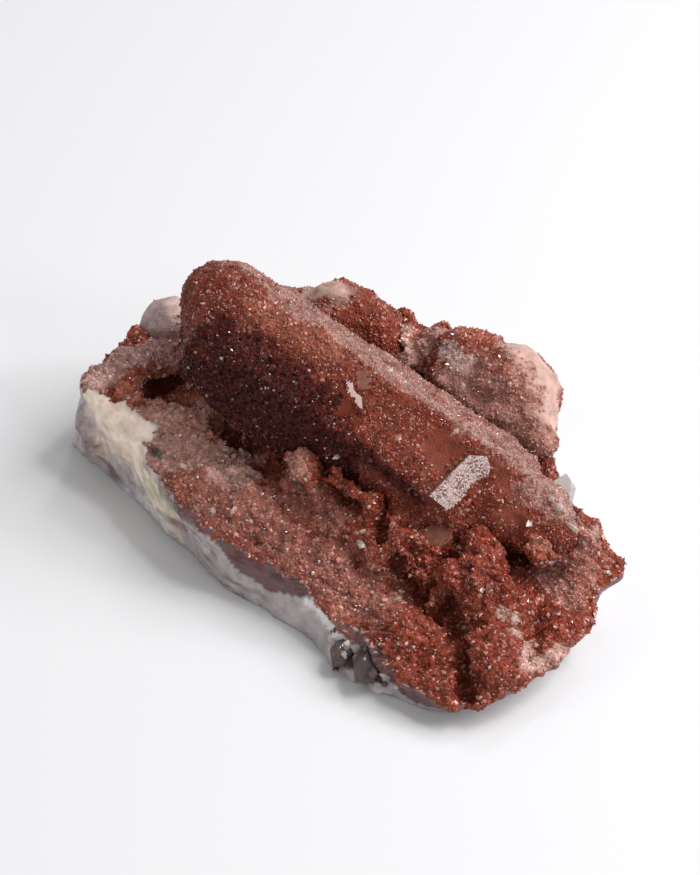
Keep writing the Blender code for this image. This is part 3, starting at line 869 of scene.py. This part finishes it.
def glassy(name, shade, density, clearness):
    """Clear or smoky quartz: see-through, darker the more of it light crosses."""
    made, tree, shader, place = new_quartz(name)
    set_values(shader, {"Base Color": shade, "Roughness": 0.03, "Transmission Weight": clearness})
    relief = add(tree, "ShaderNodeTexNoise", {"Scale": 1.0 / (0.7 * MM)}, {"Vector": place})
    raised = add(tree, "ShaderNodeBump", {"Strength": 0.6, "Distance": 0.05 * MM},
                 {"Height": relief.outputs["Fac"]})
    tree.links.new(raised.outputs["Normal"], shader.inputs["Normal"])
    absorb = add(tree, "ShaderNodeVolumeAbsorption", {"Color": shade, "Density": density})
    tree.links.new(absorb.outputs["Volume"], tree.nodes["Material Output"].inputs["Volume"])
    return made


def quartz_point(prism):
    """A six-sided quartz point one unit wide and high, with its foot in the origin, as arrays.

    With a prism it has upright sides under its tip; without one it is the tip alone.
    """
    bpy.ops.object.select_all(action="DESELECT")
    if prism:
        bpy.ops.mesh.primitive_cylinder_add(
            vertices=6, radius=0.5, depth=0.6, end_fill_type="NGON", location=(0, 0, 0.3))
    else:
        bpy.ops.mesh.primitive_cone_add(
            vertices=6, radius1=0.5, radius2=0.0, depth=1.0, location=(0, 0, 0.5))
    thing = bpy.context.object
    bpy.ops.object.transform_apply(location=True, rotation=True, scale=True)
    mesh = thing.data
    if prism:
        bpy.ops.object.mode_set(mode="EDIT")
        bpy.ops.mesh.select_all(action="DESELECT")
        bpy.ops.object.mode_set(mode="OBJECT")
        for polygon in mesh.polygons:
            polygon.select = polygon.normal.z > 0.9
        bpy.ops.object.mode_set(mode="EDIT")
        bpy.ops.mesh.poke(offset=0.4)
        bpy.ops.object.mode_set(mode="OBJECT")
    corners = read(mesh, "vertices", "co")
    faces = [tuple(p.vertices) for p in mesh.polygons]
    bpy.data.objects.remove(thing)
    return corners, faces


def mesh_of(name, placed, faces):
    """One mesh of many like things, from each thing's corners and the faces that all share."""
    count, width = placed.shape[:2]
    order = np.concatenate([np.array(face) for face in faces])
    loops = (order[None, :] + (np.arange(count) * width)[:, None]).ravel()
    starts = np.concatenate(([0], np.cumsum(np.tile([len(face) for face in faces], count))[:-1]))
    mesh = bpy.data.meshes.new(name)
    mesh.vertices.add(count * width)
    mesh.vertices.foreach_set("co", placed.astype(np.float32).ravel())
    mesh.loops.add(len(loops))
    mesh.loops.foreach_set("vertex_index", loops.astype(np.int32))
    mesh.polygons.add(len(starts))
    mesh.polygons.foreach_set("loop_start", starts.astype(np.int32))
    mesh.update(calc_edges=True)
    mesh.validate()
    mesh.shade_flat()
    return mesh


def grains(name, places, normals, sizes, tints, seed, finish_and_slot, prism=False, lean=LEAN):
    """One mesh of quartz points, each grown from its place at its own width, length and lean."""
    material, slot = finish_and_slot
    widths, lengths = sizes
    draw = np.random.default_rng(seed)
    corners, faces = quartz_point(prism)
    count = len(places)
    axes = normals + lean * draw.normal(size=(count, 3))
    axes /= np.linalg.norm(axes, axis=1)[:, None]
    side = np.cross(axes, draw.normal(size=(count, 3)))
    side /= np.linalg.norm(side, axis=1)[:, None]
    other = np.cross(axes, side)
    local = corners[None, :, :] * np.stack((widths, widths, lengths), axis=1)[:, None, :]
    local[:, :, 2] *= draw.uniform(*JITTER, size=local.shape[:2])
    local[:, :, :2] *= draw.uniform(*JITTER, size=local.shape[:2])[:, :, None]
    tip = int(np.argmax(corners[:, 2]))
    local[:, tip, :2] += draw.normal(size=(count, 2)) * TIP_SHIFT * widths[:, None]
    placed = (places[:, None, :] + local[:, :, 0:1] * side[:, None, :]
              + local[:, :, 1:2] * other[:, None, :] + local[:, :, 2:3] * axes[:, None, :])
    placed -= (SUNK * lengths)[:, None, None] * axes[:, None, :]
    placed[:, :, 2] = np.maximum(placed[:, :, 2], GROUND)
    mesh = mesh_of(name, placed, faces)
    pale_share = bpy.context.scene.hematoid_druse.pale_share
    own_pale = (draw.uniform(size=count) < pale_share) * draw.uniform(0.2, 0.7, size=count)
    # Pale grains are kept out of the painted shade of the deep tint
    own_pale *= 1.0 - 0.8 * tints["deep"]
    for attribute, share in tints.items():
        if attribute == "pale":
            share = np.clip(np.maximum(share * draw.uniform(0.6, 1.2, size=count), own_pale), 0, 1)
        write(mesh, attribute, np.repeat(np.clip(share, 0.0, 2.0), len(corners)))
    mesh.materials.append(finish(material))
    piece = bpy.data.objects.new(name, mesh)
    bpy.context.scene.collection.objects.link(piece)
    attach(piece, "root")
    return piece


def on_faces(places):
    """Which places lie on one of the bare crystal faces."""
    covered = np.zeros(len(places), bool)
    pixels = pixels_of(places)
    for outline, _lift, _material in FACES.values():
        middle = seen(tuple(np.mean(outline, axis=0)))
        near = np.linalg.norm(places - np.array(middle), axis=1) < ON_FACE_REACH * MM
        covered |= near & within(pixels, outline)
    return covered


def covered(places, normals, node):
    """Which places on a node's skin lie against a neighbour."""
    others = tree_of([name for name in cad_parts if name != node])
    return np.array([others.ray_cast(place, normal, COVERED * MM)[0] is not None
                     for place, normal in zip(places.tolist(), normals.tolist())])


def grow_druse(body, node, slot, cell, scale, tone, seed):
    """Cover a skin with druse: short, dark, bright and clear points, a few on each of its cells."""
    settings = bpy.context.scene.hematoid_druse
    mesh = body.data
    places = read(mesh, "polygons", "center")
    normals = read(mesh, "polygons", "normal")
    draw = np.random.default_rng(seed)
    chance = 1.0 - zone(places, BARE.get(node, ()))
    chance *= ~on_faces(places) * ~covered(places, normals, node)
    if node == "matrix":
        finished = np.zeros(len(mesh.polygons), np.int32)
        mesh.polygons.foreach_get("material_index", finished)
        chance *= finished == 0
    kept = np.concatenate([
        np.nonzero(draw.uniform(size=len(places)) < DENSITY * chance)[0]
        for _ in range(GRAINS_A_CELL)])
    count = len(kept)
    places, normals = places[kept], normals[kept]
    shift = draw.uniform(-0.6, 0.6, size=(count, 3)) * cell * MM
    places = places + shift - 0.85 * (shift * normals).sum(axis=1)[:, None] * normals
    clear = draw.uniform(size=count) < settings.clear_share * (
        1.0 + 1.2 * np.clip(waves(places, 4.0, seed + 1), -0.7, 1.0)
        + CLEAR_MORE * zone(places, CLEAR_PATCH.get(node, ())))
    widths = settings.grain_width * scale * np.exp(WIDTH_SPREAD * draw.normal(size=count))
    widths = np.clip(widths, *WIDTHS)
    lengths = widths * draw.uniform(*LENGTHS, size=count)
    tall = ~clear & (draw.uniform(size=count) < TALL_SHARE)
    shares = tints_at(places, node)
    variety = MATRIX_VARIETY if node == "matrix" else VARIETY
    shares["tone"] = tone * draw.uniform(1.0 - variety, 1.0 + variety, size=count)
    shares["tone"] *= np.exp(DARK_VARIETY * shares["deep"] * draw.normal(size=count))

    def part(name, own, wider, longer, number, material, prism=False):
        grains(f"{body.name}_{name}", places[own], normals[own],
               (widths[own] * wider, lengths[own] * longer),
               {key: share[own] for key, share in shares.items()},
               seed + number, (material, slot), prism)

    # Grains where the deep tint is strong take the shaded copy of the finish, so the painted shade
    # stays dark
    dark = ~clear & ~tall & (shares["deep"] > 0.5)
    if dark.any():
        part("dark_druse", dark, 1.15, 1.0, 40, "dark_druse")
    plain = np.nonzero(~clear & ~tall & ~dark)[0]
    meshes = 1 + len(plain) * GRAIN_TRIANGLES // PIECE_LIMIT
    for number, own in enumerate(np.array_split(plain, meshes)):
        part(f"druse_{number + 1}", own, 1.15, 1.0, 10 + number, "stained_points")
    part("tall_druse", tall, 1.15, 1.25, 20, "bright_druse")
    part("clear_druse", clear, 0.75, 1.4, 30, "clear_druse", True)


def sink_under_faces(piece):
    """Press the skin down where it would rise through a bare crystal face."""
    for name, (outline, lift, _material) in FACES.items():
        middle, normal = face_plane(name, outline)
        middle = middle + normal * lift * MM
        points = read(piece.data, "vertices", "co")
        rise = (points - np.array(middle)) @ np.array(normal)
        near = np.linalg.norm(points - np.array(middle), axis=1) < PRESS_REACH * MM
        centre = Vector(np.mean(outline, axis=0))
        spread = [Vector(pixel).lerp(centre, -PRESS_SPREAD) for pixel in outline]
        under = near & (rise > -FACE_REST * MM) & within(pixels_of(points), spread)
        points[under] -= (rise[under] + FACE_REST * MM)[:, None] * np.array(normal)
        piece.data.vertices.foreach_set("co", points.ravel())
        piece.data.update()


def face_plane(name, outline):
    """A face's middle and its outward normal, read from the solids under its outline."""
    places = [place for place in map(seen, outline) if place is not None]
    middle = sum(places, Vector()) / len(places)
    if name in FACE_NORMALS:
        return middle, FACE_NORMALS[name].normalized()
    offsets = np.array([place - middle for place in places])
    normal = Vector(np.linalg.svd(offsets)[2][-1])
    if normal.dot(TOWARDS_CAMERA) < 0:
        normal.negate()
    return middle, normal


def corners_of(name, outline, lift):
    """A face's outward normal and its corners, on its plane at the lift."""
    middle, normal = face_plane(name, outline)
    middle = middle + normal * lift * MM
    corners = []
    for ray in map(sight, outline):
        corners.append(CAMERA_PLACE + ray * ((middle - CAMERA_PLACE).dot(normal) / ray.dot(normal)))
    return normal, corners


def grow_rims():
    """Let grains creep over the rims of the bare faces, except where an edge is sharp."""
    draw = np.random.default_rng(701)
    places, normals = [], []
    for name, (outline, lift, _material) in FACES.items():
        normal, corners = corners_of(name, outline, lift)
        middle = sum(corners, Vector()) / len(corners)
        for number, (start, end) in enumerate(zip(corners, corners[1:] + corners[:1])):
            if number in SHARP_EDGES.get(name, ()):
                continue
            share = 1.0 if name in SHARP_EDGES else 0.6
            for _ in range(int(share * (end - start).length / (RIM_STEP * MM))):
                place = start.lerp(end, draw.uniform())
                inward = (middle - place).normalized() * draw.normal(0.0, RIM_SPREAD) * MM
                places.append(place + inward)
                normals.append(normal)
    places, normals = np.array(places), np.array(normals)
    widths = np.clip(RIM_WIDTH * np.exp(0.25 * draw.normal(size=len(places))), 0.2, 0.8) * MM
    shares = tints_at(places, "main_crystal")
    shares["tone"] = draw.uniform(0.8, 1.2, size=len(places))
    grains("face_rim_druse", places, normals, (widths, widths * 0.7), shares, 702,
           ("stained_points", "red_druse"))


def make_face(name, outline, lift, material):
    """One bare crystal face: a closed slab with a fine bevel, let into the rock."""
    normal, corners = corners_of(name, outline, lift)
    bpy.ops.object.select_all(action="DESELECT")
    bpy.ops.mesh.primitive_circle_add(vertices=len(outline), radius=MM, fill_type="NGON")
    piece = bpy.context.object
    piece.name = name
    piece.data.name = name
    for vertex, corner in zip(piece.data.vertices, corners):
        vertex.co = corner
    bpy.ops.object.mode_set(mode="EDIT")
    bpy.ops.mesh.select_all(action="SELECT")
    bpy.ops.mesh.extrude_region_move(
        TRANSFORM_OT_translate={"value": tuple(-normal * FACE_DEPTH * MM)})
    bpy.ops.mesh.select_all(action="SELECT")
    bpy.ops.mesh.normals_make_consistent(inside=False)
    bpy.ops.object.mode_set(mode="OBJECT")
    bevel(piece, FACE_BEVEL)
    piece.data.materials.append(finish(material))
    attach(piece, "root")
    return piece


class HEMATOID_OT_matrix(bpy.types.Operator):
    """Make the slab's skin: druse above, broken layered quartz on its sides"""
    bl_idname = "hematoid.matrix"
    bl_label = "Matrix"

    def execute(self, context):
        piece = rock_copy("matrix", "matrix_rock", MATRIX_CELL)
        close_to(piece, [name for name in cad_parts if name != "matrix"])
        mesh = piece.data
        points = read(mesh, "vertices", "co")
        hollow = HOLLOW * MM * zone(points, DEEP_RED_AND_SHADE["matrix"])
        points -= hollow[:, None] * read(mesh, "vertices", "normal")
        mesh.vertices.foreach_set("co", points.ravel())
        mesh.update()
        side = broken(points, read(mesh, "vertices", "normal"))
        maroon = np.maximum(zone(points, LUMP), zone(points, SEAM))
        cream = np.maximum(zone(points, CREAM), 0.8 * zone(points, PEEL)) * (1.0 - maroon)
        left = pixels_of(points)[:, 0] < LAYER_EDGE[0][0]
        bands = layer_bands(points) * zone(points, BANDS)
        layer = np.maximum(in_layer(points) * ~left, bands) * (1.0 - cream)
        rear = side * hidden_share(points)
        stains = rear * np.clip(1.3 * waves(points, 4.0, 51) - 0.5, 0.0, 0.8)
        pale = rear * np.clip(waves(points, 7.0, 52), 0.0, 0.7)
        side = laid_open(points, side)
        write(mesh, "layer", np.maximum(side * np.maximum(layer, maroon), stains))
        write(mesh, "cream", np.maximum(side * cream, pale))
        write(mesh, "greenish", side * zone(points, GREENISH))
        write(mesh, "white", side * zone(points, WHITE))
        tint(mesh, points, "matrix")
        centres = read(mesh, "polygons", "center")
        sides = laid_open(centres, broken(centres, read(mesh, "polygons", "normal")))
        mesh.materials.append(finish("druse_skin"))
        mesh.materials.append(finish("broken_quartz"))
        mesh.polygons.foreach_set("material_index", sides.astype(np.int32))
        flat = points[:, 2] < FLAT
        roughen(piece, MATRIX_LAYERS, np.where(flat, 0.0, 1.0 - SIDE_CALM * side))
        roughen(piece, REAR_CHIPS, np.where(flat, 0.0, rear))
        sink_under_faces(piece)
        for vertex in piece.data.vertices:
            vertex.co.z = max(vertex.co.z, 0.0)
        return {"FINISHED"}


class HEMATOID_OT_crystals(bpy.types.Operator):
    """Make the skins of the main crystal and of the three behind it"""
    bl_idname = "hematoid.crystals"
    bl_label = "Crystals"

    def execute(self, context):
        for name, node, slot, cell, *_grains in SKINS[1:]:
            piece = rock_copy(node, name, cell)
            points = read(piece.data, "vertices", "co")
            tint(piece.data, points, node)
            calm = BARE_CALM * zone(points, BARE.get(node, ()))
            roughen(piece, MAIN_LAYERS if node == "main_crystal" else REAR_LAYERS,
                    np.where(on_faces(points), 0.0, 1.0 - calm))
            sink_under_faces(piece)
            piece.data.materials.append(finish("druse_skin"))
        return {"FINISHED"}


class HEMATOID_OT_faces(bpy.types.Operator):
    """Make the bare crystal faces on the main crystal"""
    bl_idname = "hematoid.faces"
    bl_label = "Crystal faces"

    def execute(self, context):
        for name, (outline, lift, material) in FACES.items():
            make_face(name, outline, lift, material)
        return {"FINISHED"}


class HEMATOID_OT_points(bpy.types.Operator):
    """Make the clear point and the two smoky points"""
    bl_idname = "hematoid.points"
    bl_label = "Points"

    def execute(self, context):
        for node in ("clear_point", "smoky_point_1", "smoky_point_2"):
            piece = cad_copy(node, f"{node}_crystal")
            bpy.ops.object.mode_set(mode="EDIT")
            bpy.ops.mesh.select_all(action="SELECT")
            bpy.ops.mesh.tris_convert_to_quads()
            bpy.ops.mesh.dissolve_limited(angle_limit=math.radians(2))
            bpy.ops.object.mode_set(mode="OBJECT")
            bevel(piece, POINT_BEVEL)
            if node == "clear_point":
                piece.data.transform(Matrix.Translation(CAMERA_RIGHT * CLEAR_SHIFT * MM))
            kind = "clear" if node == "clear_point" else "smoky"
            piece.data.materials.append(finish(f"{kind}_crystal"))
            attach(piece, "root")
            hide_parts(node)
        return {"FINISHED"}


class HEMATOID_OT_druse(bpy.types.Operator):
    """Grow the druse on the slab and on the crystals"""
    bl_idname = "hematoid.druse"
    bl_label = "Druse"

    def execute(self, context):
        for name, *how in SKINS:
            grow_druse(bpy.data.objects[name], *how)
        grow_rims()
        for material, own in LARGE_POINTS.items():
            pixels, widths, lengths = zip(*own)
            hits = [SOLIDS.ray_cast(CAMERA_PLACE, sight(pixel)) for pixel in pixels]
            places = np.array([hit[0] for hit in hits])
            normals = np.array([hit[1] for hit in hits])
            sizes = (np.array(widths) * MM * LARGE_WIDER, np.array(lengths) * MM * LARGE_LONGER)
            grains(f"large_{material}_points", places, normals, sizes, {"deep": np.zeros(len(own))},
                   801, (material, "matrix_quartz"), prism=True, lean=LARGE_LEAN)
        return {"FINISHED"}


def lamp(name, kind, direction, energy, **shape):
    """A lamp that shines on the specimen from a direction."""
    light = bpy.data.lights.new(name, kind)
    light.energy = energy
    for setting, value in shape.items():
        setattr(light, setting, value)
    thing = bpy.data.objects.new(name, light)
    bpy.context.scene.collection.objects.link(thing)
    thing.rotation_euler = Vector(direction).to_track_quat("Z", "Y").to_euler()
    return thing


def sun(name, direction, energy, spread):
    """A far lamp as wide as its spread in degrees."""
    lamp(name, "SUN", direction, energy, angle=math.radians(spread))


class HEMATOID_OT_stage(bpy.types.Operator):
    """Make the floor, the lamps and the camera"""
    bl_idname = "hematoid.stage"
    bl_label = "Stage"

    def execute(self, context):
        stage = context.scene.hematoid_stage
        bpy.ops.object.select_all(action="DESELECT")
        bpy.ops.mesh.primitive_plane_add(size=stage.floor_size, location=(0, 0, 0))
        floor = context.object
        floor.name = "floor"
        # White paper: matt, a little off white
        paper = bpy.data.materials.new("white_paper")
        paper.use_nodes = True
        set_values(paper.node_tree.nodes["Principled BSDF"], {
            "Base Color": tuple(stage.paper), "Roughness": 0.9, "Specular IOR Level": 0.1})
        floor.data.materials.append(paper)
        key = lamp("key_light", "AREA", KEY_PLACE, stage.key, shape="DISK", size=KEY_SIZE)
        key.location = KEY_PLACE
        sun("top_light", TOP_LAMP[0], stage.top, TOP_LAMP[1])
        for number, (direction, share) in enumerate(SPARKLES):
            sun(f"small_lamp_{number + 1}", direction, share * stage.sparkle, SPARKLE_SPREAD)
        sun("front_light", FRONT_LAMP[0], stage.front, FRONT_LAMP[1])
        world = bpy.data.worlds.new("room")
        context.scene.world = world
        world.use_nodes = True
        set_values(world.node_tree.nodes["Background"], {
            "Color": (1.0, 1.0, 1.0, 1.0), "Strength": stage.fill})
        camera = bpy.data.cameras.new("camera")
        camera.lens = LENS
        camera.sensor_width = SENSOR
        camera.clip_start = 0.01
        camera.clip_end = 20.0
        thing = bpy.data.objects.new("camera", camera)
        context.scene.collection.objects.link(thing)
        thing.location = CAMERA_PLACE
        thing.rotation_euler = TOWARDS_CAMERA.to_track_quat("Z", "Y").to_euler()
        context.scene.camera = thing
        context.scene.view_settings.view_transform = "Standard"
        return {"FINISHED"}


class HEMATOID_PT_panel(bpy.types.Panel):
    """Lists the steps that make the specimen"""
    bl_idname = "HEMATOID_PT_panel"
    bl_label = "Hematoid quartz"
    bl_space_type = "VIEW_3D"
    bl_region_type = "UI"
    bl_category = "Hematoid quartz"

    def draw(self, context):
        layout = self.layout
        for step in STEPS:
            layout.operator(step.bl_idname)
        for group in (context.scene.hematoid_druse, context.scene.hematoid_rock,
                      context.scene.hematoid_stage):
            box = layout.box()
            for name in group.__annotations__:
                box.prop(group, name)


SETTINGS = (
    ("hematoid_druse", DruseSettings), ("hematoid_rock", RockSettings),
    ("hematoid_stage", StageSettings))
STEPS = (
    HEMATOID_OT_matrix, HEMATOID_OT_crystals, HEMATOID_OT_faces, HEMATOID_OT_points,
    HEMATOID_OT_druse, HEMATOID_OT_stage)


def register():
    for name, group in SETTINGS:
        bpy.utils.register_class(group)
        setattr(bpy.types.Scene, name, bpy.props.PointerProperty(type=group))
    for step in STEPS:
        bpy.utils.register_class(step)
    bpy.utils.register_class(HEMATOID_PT_panel)


def unregister():
    bpy.utils.unregister_class(HEMATOID_PT_panel)
    for step in reversed(STEPS):
        bpy.utils.unregister_class(step)
    for name, group in reversed(SETTINGS):
        delattr(bpy.types.Scene, name)
        bpy.utils.unregister_class(group)


def main():
    """Make the specimen and its stage."""
    register()
    bpy.ops.hematoid.matrix()
    bpy.ops.hematoid.crystals()
    bpy.ops.hematoid.faces()
    bpy.ops.hematoid.points()
    bpy.ops.hematoid.druse()
    bpy.ops.hematoid.stage()


if __name__ == "__main__":
    main()
